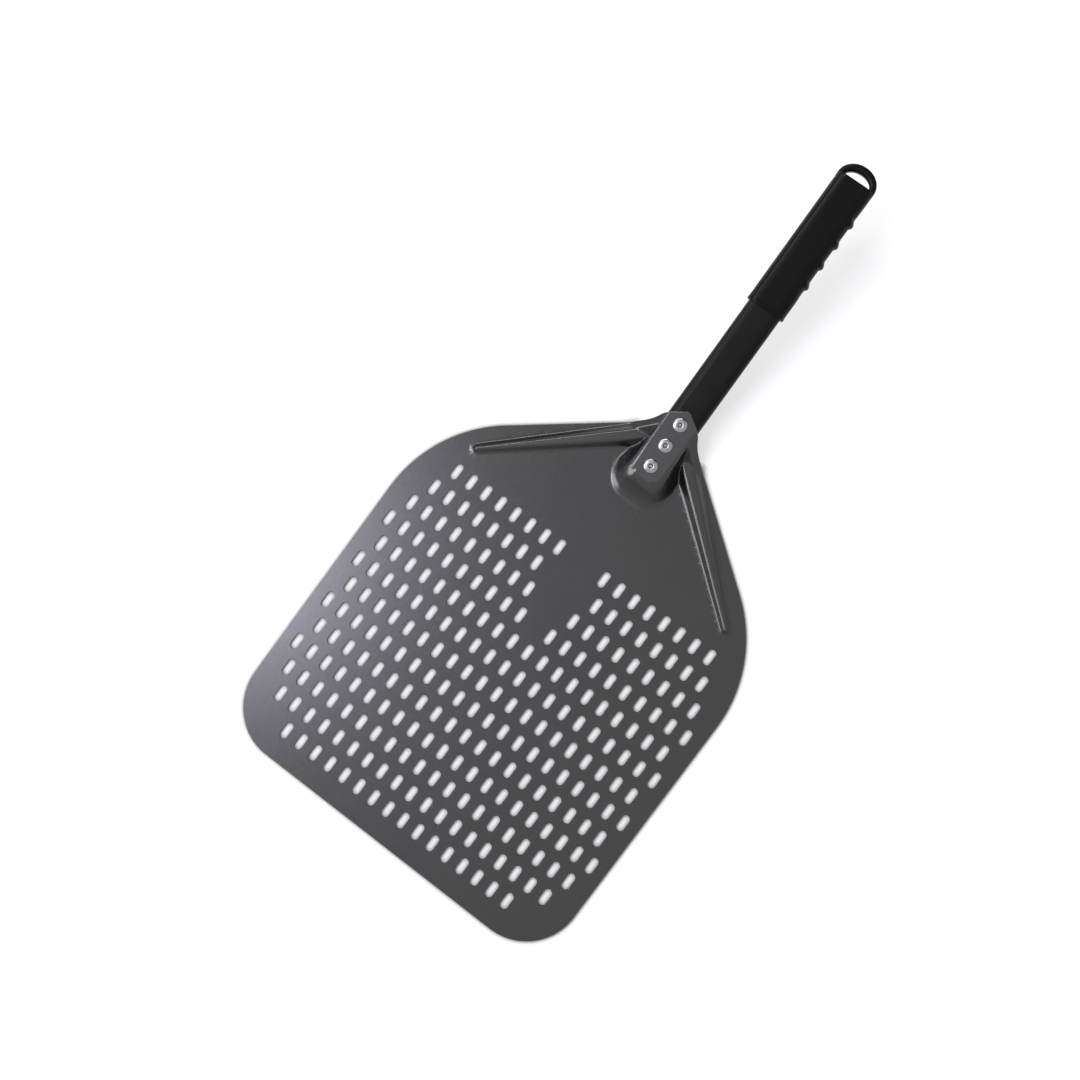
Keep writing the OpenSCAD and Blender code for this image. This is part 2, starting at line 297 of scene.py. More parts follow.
def blade_outline(step):
    """The blade's outline, anticlockwise, with its front edge at y = 0."""
    out = np.array([math.sin(SHOULDER_ANGLE), math.cos(SHOULDER_ANGLE)])
    neck_x = TUBE_HALF + NECK_R
    reach = np.array([neck_x, BLADE_LEN]) @ out - NECK_R
    shoulder_x = HALF_W - SHOULDER_R
    shoulder_y = (reach - SHOULDER_R - shoulder_x * out[0]) / out[1]
    front_half = HALF_W - FRONT_TAPER / 2
    flare = math.atan((HALF_W - front_half) / (shoulder_y - FRONT_R))
    neck = arc(neck_x, BLADE_LEN, NECK_R, 1.5 * math.pi - SHOULDER_ANGLE, math.pi, step=0.2)
    neck = neck[neck[:, 1] < BLADE_LEN - NECK_POINT_SLOPE * neck[:, 0]]
    right = np.vstack([
        arc(front_half - FRONT_R, FRONT_R, FRONT_R, -math.pi / 2, -flare, step=1),
        arc(shoulder_x, shoulder_y, SHOULDER_R, -flare, math.pi / 2 - SHOULDER_ANGLE, step=1),
        neck])
    left = right[::-1] * [-1, 1]
    return soften(resample(np.vstack([right, [[0, BLADE_LEN]], left]), step), reach=2)


def slot_centres():
    """Staggered rows of slots that leave a plain tongue in front of the neck."""
    slack = 0.1                  # so that no slot is lost to rounding
    centres = []
    rows = int((FIELD_END - FIRST_ROW) / ROW_PITCH) + 1
    each_side = int((HALF_W - SIDE_MARGIN) / SLOT_PITCH) + 1
    for row in range(rows):
        y = FIRST_ROW + row * ROW_PITCH
        reach = HALF_W - SIDE_MARGIN - max(0, FRONT_CUT - y) - max(0, y - REAR_CUT) * REAR_CUT_SLOPE
        tongue = min((y - TONGUE_START) * TONGUE_SLOPE, TONGUE_HALF_W)
        shift = SLOT_PITCH / 2 if row % 2 == 0 else 0
        for k in range(-each_side - 1, each_side + 1):
            x = k * SLOT_PITCH + shift
            if tongue < abs(x) <= reach + slack:
                centres.append((x, y))
    return np.array(centres)


def slot_loop(centre, grow):
    """One slot's outline, anticlockwise, grown by so much."""
    radius = SLOT_W / 2 + grow
    a = np.linspace(0, math.pi, 13)
    top = np.stack([radius * np.cos(a), radius * np.sin(a) + SLOT_HALF_RUN], 1)
    middle = np.linspace(SLOT_HALF_RUN, -SLOT_HALF_RUN, 4)[1:-1]
    left = np.stack([np.full(2, -radius), middle], 1)
    return np.vstack([top, left, -top, -left]) + centre


def seat_plane(y):
    """Height of the plane that the seat's flat top lies in."""
    return FLOOR_GAP + SEAT_TOP_Z * math.cos(RISE) + (y - SEAT_TOP_Y) * math.tan(RISE)


def plateau(fall, top_fold, foot_fold):
    """A level of 1 that falls to 0 as fall goes from 0 to 1, with both its folds rounded."""
    top = smooth_min(np.ones_like(fall), 1 - fall, top_fold)
    return smooth_max(top, np.zeros_like(fall), foot_fold)


def seat_rise(x, y):
    """How far the riveted seat rises out of the sheet."""
    front_y = SEAT_TOP_Y + SEAT_FRONT * math.cos(RISE)
    base_half = np.interp(y, front_y + SEAT_BASE_AT, SEAT_BASE_HALF)
    side = np.maximum(np.abs(x) - (SEAT_TOP_HALF - SEAT_CORNER_R), 0)
    ahead = np.maximum(front_y + SEAT_CORNER_R - y, 0)
    rho = np.hypot(side, ahead)
    bearing = np.arctan2(ahead, side)
    foot = 1 / np.hypot(np.cos(bearing) / (SEAT_CORNER_R + base_half - SEAT_TOP_HALF),
                        np.sin(bearing) / (SEAT_CORNER_R + SEAT_FRONT_RUN))
    fall = (rho - SEAT_CORNER_R) / (foot - SEAT_CORNER_R)
    fold = SEAT_FOLD + SEAT_CORNER_FOLD * np.sin(2 * bearing) ** 2
    return (seat_plane(y) - SHEET_T) * plateau(fall, fold, SEAT_FOOT_FOLD)


def neck_rise(x, y):
    """The neck's gentle slopes, beside the seat, that run up to its top."""
    sideways = (np.abs(x) - SEAT_TOP_HALF) * NECK_SIDE_SLOPE
    forwards = (NECK_RIDGE_Y - y) * NECK_FRONT_SLOPE
    down = smooth_max(sideways, forwards, NECK_FOLD)
    level = seat_plane(y) - SHEET_T - NECK_STEP - np.maximum(down, 0)
    return smooth_max(level, np.zeros_like(level), NECK_FOOT_FOLD)


def rib_rise(x, y):
    """How far the shoulder ribs rise out of the sheet."""
    run = RIB_INNER - RIB_OUTER
    length = np.hypot(*run)
    along = ((np.abs(x) - RIB_OUTER[0]) * run[0] + (y - RIB_OUTER[1]) * run[1]) / length ** 2
    s = np.clip(along, 0, 1)
    off = np.hypot(np.abs(x) - RIB_OUTER[0] - s * run[0], y - RIB_OUTER[1] - s * run[1])
    base, crest, height = (np.interp(s, [0, 1], ends) for ends in (RIB_BASE, RIB_CREST, RIB_H))
    return height * plateau((off - crest) / (base - crest), RIB_FOLD, RIB_FOLD)


def sheet_height(x, y):
    """The blade's upper face: flat, with the seat, the neck's slopes and the ribs pressed up out of it."""
    shoulders = merge(neck_rise(x, y), rib_rise(x, y), RIB_TO_NECK)
    return SHEET_T + merge(seat_rise(x, y), shoulders, NECK_TO_SEAT)


def face_normals(x, y):
    """Unit normals of the blade's upper face."""
    e = 0.02                     # half the span that the slope is taken over
    dx = (sheet_height(x + e, y) - sheet_height(x - e, y)) / (2 * e)
    dy = (sheet_height(x, y + e) - sheet_height(x, y - e)) / (2 * e)
    normals = np.stack([-dx, -dy, np.ones_like(dx)], 1)
    return normals / np.linalg.norm(normals, axis=1)[:, None]


def inside(loop, points):
    """Which points lie within a closed polyline."""
    result = np.zeros(len(points), bool)
    for (x0, y0), (x1, y1) in zip(loop, np.roll(loop, -1, axis=0)):
        crosses = (points[:, 1] < y0) != (points[:, 1] < y1)
        where = x0 + (points[:, 1] - y0) * (x1 - x0) / (y1 - y0 if y1 != y0 else 1)
        result ^= crosses & (points[:, 0] < where)
    return result


def distance_to_slots(points, centres):
    """Distance from each point to the nearest slot's middle line."""
    nearest = np.full(len(points), np.inf)
    for cx, cy in centres:
        dy = np.maximum(np.abs(points[:, 1] - cy) - SLOT_HALF_RUN, 0)
        nearest = np.minimum(nearest, np.hypot(points[:, 0] - cx, dy))
    return nearest


def grid(step, start_y):
    """A staggered grid of points over the blade, from a distance behind its front edge."""
    ys = np.arange(start_y, BLADE_LEN, step * 0.87)                 # about an equilateral triangle's height
    xs = np.arange(-HALF_W, HALF_W + step, step)
    return np.vstack([np.stack([xs + (k % 2) * step / 2, np.full(len(xs), y)], 1) for k, y in enumerate(ys)])


def clear_of(outline, points, gap):
    """The points that lie inside the outline and further than gap from its corners."""
    points = points[inside(outline, points)]
    nearest = np.full(len(points), np.inf)
    for x, y in outline:
        nearest = np.minimum(nearest, np.hypot(points[:, 0] - x, points[:, 1] - y))
    return points[nearest > gap]


def fill_points(outline, centres):
    """Points inside the blade: close together where it is pressed to shape, far apart where flat."""
    pressed = grid(PRESSED_STEP, PRESSED_START)
    pressed = pressed[sheet_height(*pressed.T) > SHEET_T + LEAST_RISE]
    flat = grid(FLAT_STEP, start_y=2.0)
    flat = flat[sheet_height(*flat.T) <= SHEET_T + LEAST_RISE]
    flat = flat[distance_to_slots(flat, centres) > SLOT_W / 2 + SLOT_GAP]
    rough_outline = outline[::2]                                    # enough for the larger gap
    return np.vstack([clear_of(outline, pressed, PRESSED_GAP), clear_of(rough_outline, flat, FLAT_GAP)])


def rim_profile(radius):
    """Steps over a sheet's rounded edge: (outwards, down, normal outwards, normal up)."""
    angles = np.radians([30, 60, 90])
    upper = [(radius * math.sin(a), radius * (1 - math.cos(a)), math.sin(a), math.cos(a)) for a in angles]
    lower = [(out, SHEET_T - down, n_out, -n_up) for out, down, n_out, n_up in reversed(upper)]
    return upper + lower


def edge_loops(centres):
    """The edges of the sheet's flat top face: (points, normals away from the sheet, rounding)."""
    outline = blade_outline(OUTLINE_STEP)
    rim = outline - RIM_R * loop_normals(outline)
    loops = [(rim, loop_normals(rim), RIM_R)]
    for centre in centres:
        loop = slot_loop(centre, PUNCH_R)
        loops.append((loop, -loop_normals(loop), PUNCH_R))
    return loops


def triangulate(loops, centres):
    """The top face seen from above: points, triangles, and where each loop's points are among them."""
    rim = loops[0][0]
    flat = np.vstack([loop for loop, _, _ in loops] + [fill_points(rim, centres)])
    edges, spans = [], []
    start = 0
    for loop, _, _ in loops:
        span = range(start, start + len(loop))
        edges += zip(span, [*span[1:], start])
        spans.append(span)
        start = span.stop
    coords, _, triangles, origins, _, _ = delaunay_2d_cdt([Vector(p) for p in flat], edges, [], 0, 1e-5)
    coords = np.array([(c[0], c[1]) for c in coords])
    triangles = np.array(triangles)

    corners = coords[triangles]
    middles = corners.mean(1)
    ab, ac = corners[:, 1] - corners[:, 0], corners[:, 2] - corners[:, 0]
    areas = np.abs(ab[:, 0] * ac[:, 1] - ab[:, 1] * ac[:, 0]) / 2
    slot_reach = SLOT_W / 2 + PUNCH_R - 0.03        # a little less, because its round ends have flat sides
    outside_slots = distance_to_slots(middles, centres) > slot_reach
    triangles = triangles[inside(rim, middles) & outside_slots & (areas >= LEAST_AREA)]
    place = {source: k for k, sources in enumerate(origins) for source in sources}
    return coords, triangles, [np.array([place[i] for i in span]) for span in spans]


def blade_mesh():
    """The pressed, perforated sheet: points, faces, normals, and how near each point is to an edge."""
    centres = slot_centres()
    loops = edge_loops(centres)
    coords, triangles, loop_ids = triangulate(loops, centres)
    n = face_normals(*coords.T)
    top = np.column_stack([coords, sheet_height(*coords.T)])
    total = len(coords)
    points = [top, top - SHEET_T * n]
    normals = [n, -n]
    edge_wear = [np.zeros(2 * total)]
    faces = [tuple(t) for t in triangles] + [tuple(t[::-1] + total) for t in triangles]
    base = 2 * total
    for (loop, outward, radius), ids in zip(loops, loop_ids):
        count = len(loop)
        flow = np.column_stack([outward, np.zeros(count)])          # away from the sheet, along its surface
        flow -= (flow * n[ids]).sum(1)[:, None] * n[ids]
        flow /= np.linalg.norm(flow, axis=1)[:, None]
        rings = [ids]
        for out, down, n_out, n_up in rim_profile(radius):
            points.append(top[ids] + out * flow - down * n[ids])
            normals.append(n_out * flow + n_up * n[ids])
            edge_wear.append(np.full(count, abs(n_up) > WORN_TILT, float))
            rings.append(np.arange(base, base + count))
            base += count
        rings.append(ids + total)
        is_hole = radius == PUNCH_R
        for a, b in zip(rings[:-1], rings[1:]):
            for i in range(count):
                j = (i + 1) % count
                quad = (a[i], b[i], b[j], a[j])
                faces.append(tuple(reversed(quad)) if is_hole else quad)
    points = np.vstack(points)
    points[:, 1] += FRONT_Y
    return points, [tuple(int(v) for v in f) for f in faces], np.vstack(normals), np.concatenate(edge_wear)


def build_blade(material):
    points, faces, normals, wear = blade_mesh()
    blade = make_object("blade_sheet", points, faces, material, normals=normals)
    attribute = blade.data.attributes.new("edge_wear", "FLOAT", "POINT")
    attribute.data.foreach_set("value", wear)
    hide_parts("blade")


# ---------------------------------------------------------------- tube, plug and grip

def stadium(width, height, count):
    """Points round a flat-sided oval, about its middle: (x, z, normal x, normal z)."""
    radius = height / 2
    run = width - height
    quarter = count // 4
    points = []
    for side, turn in ((1, -math.pi / 2), (-1, math.pi / 2)):
        for k in range(2 * quarter):
            a = turn + math.pi * k / (2 * quarter - 1)
            cos, sin = math.cos(a), math.sin(a)
            points.append((side * run / 2 + radius * cos, radius * sin, cos, sin))
    return np.array(points)


def oval_ring(y, inset, count=64):
    """A ring of the tube's oval at y, shrunk by inset, in the handle's frame."""
    oval = stadium(TUBE_W - 2 * inset, TUBE_H - 2 * inset, count)
    return np.stack([oval[:, 0], np.full(len(oval), y), oval[:, 1] + TUBE_H / 2], 1)


def build_tube(material):
    """The hollow tube: forwards along its outside, over its rounded mouth and back along its bore."""
    lip = 0.4
    stations = 56
    turns = np.radians([0, 30, 60, 90])
    rings = [oval_ring(y, 0) for y in np.linspace(TUBE_END, 1.0, stations)]
    rings += [oval_ring(lip - lip * math.sin(a), lip - lip * math.cos(a)) for a in turns]
    rings += [oval_ring(lip - lip * math.cos(a), TUBE_WALL - lip + lip * math.sin(a)) for a in turns]
    rings += [oval_ring(y, TUBE_WALL) for y in np.linspace(2.0, TUBE_END, stations)]
    points, faces = loft(rings, hollow=True)
    tube = make_object("tube_body", points, faces, material, HANDLE)
    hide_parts("handle_tube")


def grip_ring(y, inset):
    """A ring of the grip's outer surface, with its finger bumps and the dips between them."""
    oval = stadium(2 * (GRIP_HALF - inset), GRIP_H - 2 * inset, GRIP_POINTS)
    bump_first = HANDLE_LEN - BUMP_TO_END
    bump_last = bump_first - (BUMP_COUNT - 1) * BUMP_PITCH
    swell = 0.0
    for k in range(BUMP_COUNT):
        u = y - (bump_first - k * BUMP_PITCH)
        run, fullness = BUMP_REAR if u > 0 else BUMP_FRONT
        if abs(u) < run:
            swell = max(swell, math.cos(u / run * math.pi / 2) ** fullness)
    near, far = BUMP_DIP_REACH
    dip = np.interp(y, [bump_last - far, bump_last - near, bump_first + near, bump_first + far],
                    [0, BUMP_DIP, BUMP_DIP, 0])
    lip = np.interp(y - GRIP_START, GRIP_LIP_REACH, [GRIP_LIP, 0])
    facing = np.clip((oval[:, 2] - BUMP_FACING[0]) / BUMP_FACING[1], 0, 1)
    facing = facing * facing * (3 - 2 * facing)
    grow = lip + facing * ((BUMP_OUT + dip) * swell - dip)
    return np.stack([oval[:, 0] + grow * oval[:, 2], np.full(len(oval), y),
                     oval[:, 1] + grow * oval[:, 3] + TUBE_H / 2], 1)


def eye_loop():
    """The round-edged band that goes round the hanging eye, its ends sunk into the grip."""
    edge = 2.4
    sink = np.array([0, 4.0, 0])
    quarter = np.radians(np.linspace(0, 90, 7))
    corners = [(1, 1), (-1, 1), (-1, -1), (1, -1)]                  # of the band's section: (outwards, up)
    rings = []
    for a in np.radians(np.linspace(0, 180, 61)):
        outer = np.array([GRIP_HALF * math.cos(a), EYE_RISE * math.sin(a)])
        inner = np.array([(GRIP_HALF - EYE_BAND) * math.cos(a), EYE_HOLE_RISE * math.sin(a)])
        middle, across = (outer + inner) / 2, (outer - inner) / 2
        half = np.hypot(*across)
        ring = []
        for k, (side, top) in enumerate(corners):
            for turn in k * math.pi / 2 + quarter:
                out = (side * (half - edge) + edge * math.cos(turn)) / half
                x, y = middle + across * out
                ring.append((x, EYE_BASE + y, TUBE_H / 2 + top * (EYE_T / 2 - edge) + edge * math.sin(turn)))
        rings.append(np.array(ring))
    return loft([rings[0] - sink] + rings + [rings[-1] - sink])


def build_grip(material):
    """The moulded sleeve and its eye, joined and blended by a fine remesh."""
    end_r = 1.3
    front_r = 0.6
    clearance = 0.1
    stations = 190
    voxel = 0.6
    turns = np.radians([0, 22.5, 45, 67.5, 90])
    rings = [grip_ring(EYE_BASE - end_r + end_r * math.cos(a), end_r * (1 - math.sin(a))) for a in turns]
    rings += [grip_ring(y, 0) for y in np.linspace(EYE_BASE - end_r, GRIP_START + front_r, stations)[1:]]
    rings += [grip_ring(GRIP_START + front_r - front_r * math.sin(a), front_r * (1 - math.cos(a)))
              for a in turns[1:]]
    rings += [oval_ring(y, -clearance, GRIP_POINTS) for y in (GRIP_START, TUBE_END + clearance)]
    sleeve, sleeve_faces = loft(rings)
    eye, eye_faces = eye_loop()
    faces = sleeve_faces + [tuple(v + len(sleeve) for v in f) for f in eye_faces]
    grip = make_object("grip_sleeve", np.vstack([sleeve, eye]), faces, material)
    remesh = grip.modifiers.new("join", "REMESH")
    remesh.mode = "VOXEL"
    remesh.voxel_size = voxel * MM
    remesh.use_smooth_shade = True
    smooth = grip.modifiers.new("fillets", "SMOOTH")
    smooth.factor = 0.5
    smooth.iterations = 4
    apply_modifiers(grip)
    grip.data.transform(HANDLE)
    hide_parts("grip")


def apply_modifiers(piece):
    """Turns what the modifiers make into the piece's own mesh."""
    evaluated = piece.evaluated_get(bpy.context.evaluated_depsgraph_get())
    mesh = bpy.data.meshes.new_from_object(evaluated)
    piece.modifiers.clear()
    piece.data = mesh


def build_plug(material):
    """The plug in the tube's front end: a stub, and a cap with a rounded edge in front of it."""
    cap_t = 1.2
    cap_inset = 0.6
    fit = 0.05
    depth = 5.0
    edge = 0.4
    step = 0.01                  # between two rings that meet in a sharp corner
    stub_inset = TUBE_WALL + fit
    rings = [oval_ring(depth, stub_inset), oval_ring(-step, stub_inset), oval_ring(-2 * step, cap_inset)]
    for a in np.radians([0, 30, 60, 90]):
        rings.append(oval_ring(-cap_t + edge * (1 - math.sin(a)), cap_inset + edge * (1 - math.cos(a))))
    points, faces = loft(rings)
    plug = make_object("tube_plug", points, faces, material, HANDLE)
    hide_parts("front_plug")


# ---------------------------------------------------------------- rivets

def rivet_matrix(number):
    """Where a rivet stands: its z axis is the rivet's own, from the tube's underside."""
    return HANDLE @ Matrix.Translation(Vector((0, FIRST_RIVET + (number - 1) * RIVET_PITCH, 0)) * MM)


def build_rivet_shell(number, material):
    """A pulled blind rivet: low domed head, shank, and the bulb inside the tube."""
    bore = (STEM_D + STEM_GAP) / 2
    head_r = HEAD_D / 2
    chamfer = 0.15
    flange = 0.35
    fullness = 0.85
    crown = MOUTH_R + 0.75
    mouth_fold = 0.35
    mouth_step = 0.1
    bulb_r = 1.0
    dome_top = SEAT_TOP_Z + HEAD_H
    mouth_floor = dome_top - MOUTH_DEPTH
    profile = [(head_r - chamfer, SEAT_TOP_Z), (head_r, SEAT_TOP_Z + chamfer)]
    for a in np.radians(np.linspace(0, 90, 12)):
        profile.append((crown + (head_r - crown) * math.cos(a) ** fullness,
                        SEAT_TOP_Z + flange + (HEAD_H - flange) * math.sin(a)))
    for a in np.radians(np.linspace(15, 90, 6)):
        profile.append((crown - (crown - MOUTH_R) * math.sin(a), dome_top - mouth_fold * (1 - math.cos(a))))
    profile += [(MOUTH_R - mouth_step, mouth_floor), (bore, mouth_floor - mouth_step), (bore, BULB_END)]
    for a in np.radians([-90, -60, -30, 0]):
        profile.append((BULB_D / 2 + bulb_r * (math.cos(a) - 1), BULB_END + bulb_r * (math.sin(a) + 1)))
    profile += [(BULB_D / 2, INNER_FACE), (RIVET_D / 2, INNER_FACE), (RIVET_D / 2, SEAT_TOP_Z)]
    points, faces = lathe(profile)
    shell = make_object(f"rivet_head_{number}", points, faces, material, rivet_matrix(number))
    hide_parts(f"rivet_shell_{number}")


def build_rivet_stem(number, material):
    """The broken stem: a rough, slightly cupped tip in the mouth, and its head behind the bulb."""
    tip = SEAT_TOP_Z + HEAD_H - MOUTH_DEPTH / 2
    radius = STEM_D / 2
    head_r = STEM_HEAD_D / 2
    head_end = BULB_END - STEM_HEAD_T
    head_edge = 0.5
    roughness = 0.06
    smooth_part = [(head_r * 0.6, head_end), (head_r, head_end + head_edge), (head_r, BULB_END - 0.02),
                   (radius, BULB_END - 0.01), (radius, tip - 0.6)]
    broken_part = [(radius * 0.8, tip - 0.1), (radius * 0.62, tip), (radius * 0.3, tip - 0.18)]
    count = 40
    angles = np.arange(count) * math.tau / count
    rng = np.random.default_rng(number)
    rings = []
    for r, z in smooth_part + broken_part:
        rough = rng.normal(0, roughness, count) if (r, z) in broken_part else np.zeros(count)
        rings.append(np.stack([r * np.cos(angles), r * np.sin(angles), z + rough], 1))
    points, faces = loft(rings)
    stem = make_object(f"rivet_tip_{number}", points, faces, material, rivet_matrix(number))
    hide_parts(f"rivet_stem_{number}")


# ---------------------------------------------------------------- materials

BLACK_SPECULAR = 0.11            # of the tube's coating and the grip's plastic


class Nodes:
    """Adds nodes to a tree. An input takes a plain value or another node's output."""

    def __init__(self, tree):
        self.tree = tree

    def join(self, node, socket, value):
        if isinstance(value, bpy.types.NodeSocket):
            self.tree.links.new(value, node.inputs[socket])
        else:
            node.inputs[socket].default_value = value

    def add(self, kind, inputs, output=0, **settings):
        """A new node's output, once its settings and inputs are in place."""
        node = self.tree.nodes.new("ShaderNode" + kind)
        for name, value in settings.items():
            setattr(node, name, value)
        for socket, value in inputs.items():
            self.join(node, socket, value)
        return node.outputs[output]

    def maths(self, operation, a, b):
        return self.add("Math", {0: a, 1: b}, operation=operation)

    def remap(self, value, low, high, to_low, to_high, **settings):
        ends = {"From Min": low, "From Max": high, "To Min": to_low, "To Max": to_high}
        return self.add("MapRange", {"Value": value, **ends}, "Result", **settings)

    def any_ray(self, *kinds):
        """1 for rays of these kinds and 0 for all others."""
        path = self.tree.nodes.new("ShaderNodeLightPath")
        seen = 0.0
        for kind in kinds:
            seen = self.maths("MAXIMUM", seen, path.outputs[kind])
        return seen

    def surface(self, output_kind, fac, first, second):
        """Puts out a mix of two shaders: the first where fac is 0, the second where it is 1."""
        output = self.tree.nodes.new("ShaderNode" + output_kind)
        self.join(output, "Surface", self.add("MixShader", {0: fac, 1: first, 2: second}))


class Paint(Nodes):
    """A procedural material: a Principled shader and the nodes that feed it."""

    def __init__(self, name, **values):
        self.material = bpy.data.materials.new(name)
        self.material.use_nodes = True
        super().__init__(self.material.node_tree)
        self.shader = self.tree.nodes["Principled BSDF"]
        for socket, value in values.items():
            self.feed(socket.replace("_", " "), value)
        self.place = self.add("TexCoord", {}, "Object")

    def feed(self, socket, value):
        self.join(self.shader, socket, value)

    def stretched(self, x, y, z):
        return self.add("Mapping", {"Scale": (x, y, z), "Vector": self.place}, "Vector")

    def noise(self, scale, detail=2.0, roughness=0.5, place=None):
        inputs = {"Scale": scale, "Detail": detail, "Roughness": roughness, "Vector": place or self.place}
        return self.add("TexNoise", inputs, "Fac")

    def colours(self, fac, first, second):
        """Runs from the first colour to the second as fac goes from 0 to 1; either may be an output."""
        first, second = ((*c, 1) if isinstance(c, tuple) else c for c in (first, second))
        return self.add("Mix", {0: fac, 6: first, 7: second}, 2, data_type="RGBA")

    def bump(self, height, strength, distance_mm, under=None):
        inputs = {"Strength": strength, "Distance": distance_mm * MM, "Height": height}
        if under is not None:
            inputs["Normal"] = under
        return self.add("Bump", inputs, "Normal")

    def attribute(self, name):
        return self.add("Attribute", {}, "Fac", attribute_name=name)


def anodised_sheet():
    """Dark satin sheet with rolling lines along it, faint scuffs across it and paler, worn edges."""
    paint = Paint("anodised_sheet", Metallic=1.0)
    blotches = paint.noise(14, 3, 0.6)
    grain = paint.noise(2600, 2, 0.6)
    rolled = paint.noise(260, 3, 0.6, paint.stretched(6, 0.25, 1))
    scuffs = paint.noise(55, 6, 0.75, paint.stretched(0.35, 3, 1))
    base = paint.colours(blotches, (0.060, 0.058, 0.058), (0.073, 0.071, 0.071))
    base = paint.colours(paint.remap(grain, 0.3, 0.7, 0, 0.3), base, (0.10, 0.10, 0.103))
    base = paint.colours(paint.remap(scuffs, 0.66, 0.8, 0, 0.15), base, (0.16, 0.16, 0.16))
    worn = paint.maths("MULTIPLY", paint.attribute("edge_wear"), paint.remap(blotches, 0.35, 0.6, 0.25, 0.6))
    paint.feed("Base Color", paint.colours(worn, base, (0.2, 0.2, 0.2)))
    paint.feed("Roughness", paint.maths("ADD", paint.remap(rolled, 0.3, 0.7, 0.24, 0.28),
                                        paint.remap(scuffs, 0.55, 0.75, 0.0, -0.05)))
    fine = paint.bump(grain, 0.25, 0.02)
    paint.feed("Normal", paint.bump(rolled, 0.2, 0.02, fine))
    return paint.material


def black_tube():
    paint = Paint("black_tube", Metallic=0.0, IOR=1.5, Specular_IOR_Level=BLACK_SPECULAR)
    mottle = paint.noise(35, 3, 0.6)
    orange_peel = paint.noise(900, 2, 0.5)
    paint.feed("Base Color", paint.colours(mottle, (0.0035, 0.0035, 0.0035), (0.0055, 0.0055, 0.0055)))
    paint.feed("Roughness", paint.remap(mottle, 0.3, 0.7, 0.29, 0.35))
    paint.feed("Normal", paint.bump(orange_peel, 0.3, 0.04))
    return paint.material


def black_plastic():
    paint = Paint("black_plastic", Metallic=0.0, IOR=1.5, Specular_IOR_Level=BLACK_SPECULAR)
    mottle = paint.noise(60, 3, 0.6)
    spark = paint.noise(2200, 2, 0.6)
    paint.feed("Base Color", paint.colours(mottle, (0.0014, 0.0014, 0.0015), (0.0024, 0.0024, 0.0026)))
    paint.feed("Roughness", paint.remap(spark, 0.3, 0.7, 0.26, 0.34))
    paint.feed("Normal", paint.bump(spark, 0.5, 0.05))
    return paint.material


def rivet_metal():
    paint = Paint("rivet", Metallic=1.0)
    cloud = paint.noise(700, 3, 0.6)
    marks = paint.noise(2500, 4, 0.7)
    paint.feed("Base Color", paint.colours(cloud, (0.26, 0.26, 0.26), (0.37, 0.37, 0.37)))
    paint.feed("Roughness", paint.remap(marks, 0.35, 0.7, 0.18, 0.32))
    paint.feed("Normal", paint.bump(marks, 0.25, 0.02))
    return paint.material


def stem_metal():
    paint = Paint("rivet_stem", Metallic=1.0)
    cloud = paint.noise(1500, 4, 0.7)
    paint.feed("Base Color", paint.colours(cloud, (0.16, 0.15, 0.145), (0.36, 0.35, 0.34)))
    paint.feed("Roughness", paint.remap(cloud, 0.3, 0.7, 0.35, 0.6))
    paint.feed("Normal", paint.bump(cloud, 0.6, 0.08))
    return paint.material


build_blade(anodised_sheet())
build_tube(black_tube())
plastic = black_plastic()
build_grip(plastic)
build_plug(plastic)
shell_metal = rivet_metal()
tip_metal = stem_metal()
for rivet in RIVETS:
    build_rivet_shell(rivet, shell_metal)
    build_rivet_stem(rivet, tip_metal)


# ---------------------------------------------------------------- floor, light and camera

IMAGE_UP = Vector((-0.58821, 0.80306, 0.0954))
CAMERA_AT = Vector((109.66, -92.12, 1212.06)) * MM
CAMERA_TO = Vector((-38.41, -56.77, SHEET_T)) * MM
ACROSS = (CAMERA_TO - CAMERA_AT).normalized().cross(IMAGE_UP).normalized()     # to the picture's right
FLAT_RIGHT = Vector((ACROSS.x, ACROSS.y, 0)).normalized()                      # the same along the floor
FLAT_UP = Vector((-FLAT_RIGHT.y, FLAT_RIGHT.x, 0))


def make_floor():
    """A plain pale floor that is seen as white, and keeps the object's shadow; near the object ambient
    occlusion dims its glow, as painted shade.
    """
    half = 2.2                   # metres
    grey = 0.40
    painted_shade_reach = 7 * MM             # how near a thing has to be to dim the floor's glow, painting shade there
    shaded, clear = 0.86, 0.94   # the floor's openness where the glow is out (full painted shade), and where it is full
    full_glow = 0.56
    mesh = bpy.data.meshes.new("floor")
    corners = [(-half, -half, 0), (half, -half, 0), (half, half, 0), (-half, half, 0)]
    mesh.from_pydata(corners, [], [(0, 1, 2, 3)])
    floor = bpy.data.objects.new("floor", mesh)
    bpy.context.scene.collection.objects.link(floor)
    material = bpy.data.materials.new("floor")
    material.use_nodes = True
    material.node_tree.nodes.clear()
    nodes = Nodes(material.node_tree)
    plain = nodes.add("BsdfDiffuse", {"Color": (grey, grey, grey, 1)})
    # painted shade: the glow fades where the floor is occluded, darkening the slots and a thin band along
    # the sheet's edges
    occlusion_for_painted_shade = nodes.add("AmbientOcclusion", {"Distance": painted_shade_reach}, "AO", samples=8)
    glow = nodes.add("Emission", {"Strength": nodes.remap(occlusion_for_painted_shade, shaded, clear, 0.0, full_glow)})
    glowing = nodes.add("AddShader", {0: plain, 1: glow})
    seen = nodes.any_ray("Is Camera Ray", "Is Glossy Ray", "Is Transmission Ray")
    nodes.surface("OutputMaterial", seen, plain, glowing)
    mesh.materials.append(material)


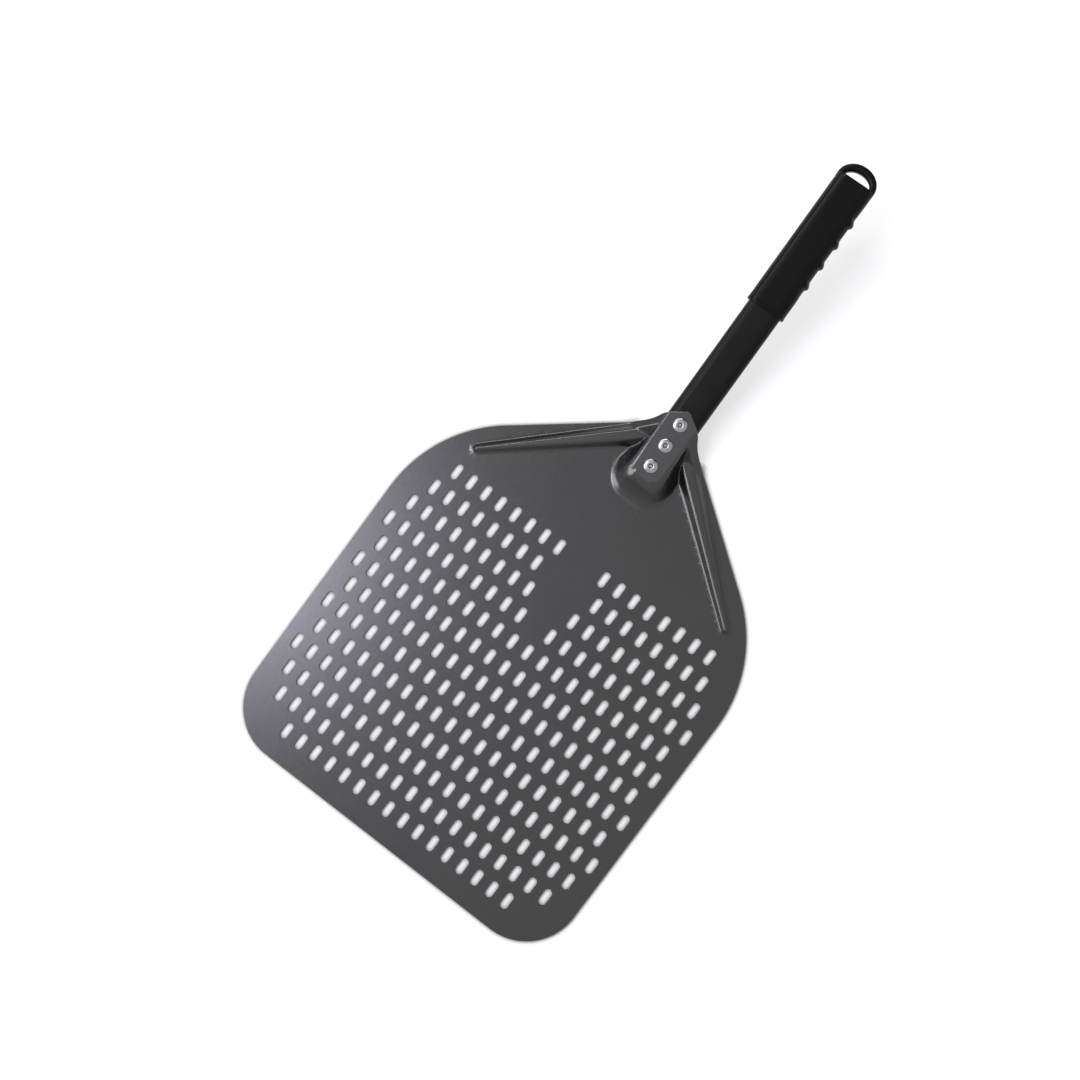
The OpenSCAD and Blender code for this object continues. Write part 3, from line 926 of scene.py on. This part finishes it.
def make_world():
    """Soft light from all over the sky, falling off towards the horizon, with one dark flag."""
    world = bpy.data.worlds.new("studio")
    bpy.context.scene.world = world
    world.use_nodes = True
    world.node_tree.nodes.clear()
    nodes = Nodes(world.node_tree)
    way = nodes.add("TexCoord", {}, "Generated")

    def lean(direction):
        return nodes.add("VectorMath", {0: way, 1: direction}, "Value", operation="DOT_PRODUCT")

    def ramp(value, *ends):
        return nodes.remap(value, *ends, interpolation_type="SMOOTHSTEP")

    rise = lean((0, 0, 1))
    sky = ramp(rise, 0.0, 0.25, 0.28, 0.9)
    dark_side = (FLAT_UP * 0.95 + FLAT_RIGHT * 0.1 + Vector((0, 0, 0.3))).normalized()
    flag = ramp(lean(dark_side), 0.45, 0.8, 1.0, 0.2)
    strength = nodes.maths("MULTIPLY", sky, flag)
    lit = nodes.add("Background", {"Color": (0.985, 0.985, 1.0, 1), "Strength": strength})
    white = nodes.add("Background", {"Color": (1, 1, 1, 1)})
    horizon = ramp(rise, 0.0, 0.06, 1.0, 0.0)
    reflected = nodes.maths("MULTIPLY", nodes.any_ray("Is Glossy Ray"), horizon)
    direct = nodes.any_ray("Is Camera Ray", "Is Transmission Ray")
    nodes.surface("OutputWorld", nodes.maths("MAXIMUM", direct, reflected), lit, white)


def softbox(name, right, up, height, width, depth, watts, colour=(1, 1, 1)):
    """An area lamp aimed at the object, placed by the picture's right and up, in metres."""
    lamp = bpy.data.lights.new(name, "AREA")
    lamp.shape = "RECTANGLE"
    lamp.size = width
    lamp.size_y = depth
    lamp.energy = watts
    lamp.color = colour
    holder = bpy.data.objects.new(name, lamp)
    holder.location = FLAT_RIGHT * right + FLAT_UP * up + Vector((0, 0, height))
    holder.rotation_euler = (-holder.location).to_track_quat("-Z", "Y").to_euler()
    bpy.context.scene.collection.objects.link(holder)


def make_camera():
    """The camera, turned so that the picture's right is ACROSS."""
    forward = (CAMERA_TO - CAMERA_AT).normalized()
    up = ACROSS.cross(forward)
    turn = Matrix((ACROSS, up, -forward)).transposed().to_4x4()
    camera = bpy.data.objects.new("camera", bpy.data.cameras.new("camera"))
    camera.data.lens = 50
    camera.data.sensor_width = 36
    camera.data.clip_end = 50
    camera.matrix_world = Matrix.Translation(CAMERA_AT) @ turn
    bpy.context.scene.collection.objects.link(camera)
    bpy.context.scene.camera = camera


make_floor()
make_world()
softbox("left_box", right=-1.05, up=0.25, height=1.8, width=0.55, depth=0.85, watts=17,
        colour=(0.92, 0.9, 1.08))
softbox("key_box", right=-1.95, up=-0.1, height=1.15, width=1.2, depth=1.2, watts=22)
softbox("top_strip", right=-0.25, up=1.45, height=1.3, width=1.2, depth=0.3, watts=14)
softbox("side_strip", right=-1.2, up=1.3, height=1.05, width=0.9, depth=0.3, watts=8)
make_camera()
bpy.context.scene.view_settings.view_transform = "Standard"
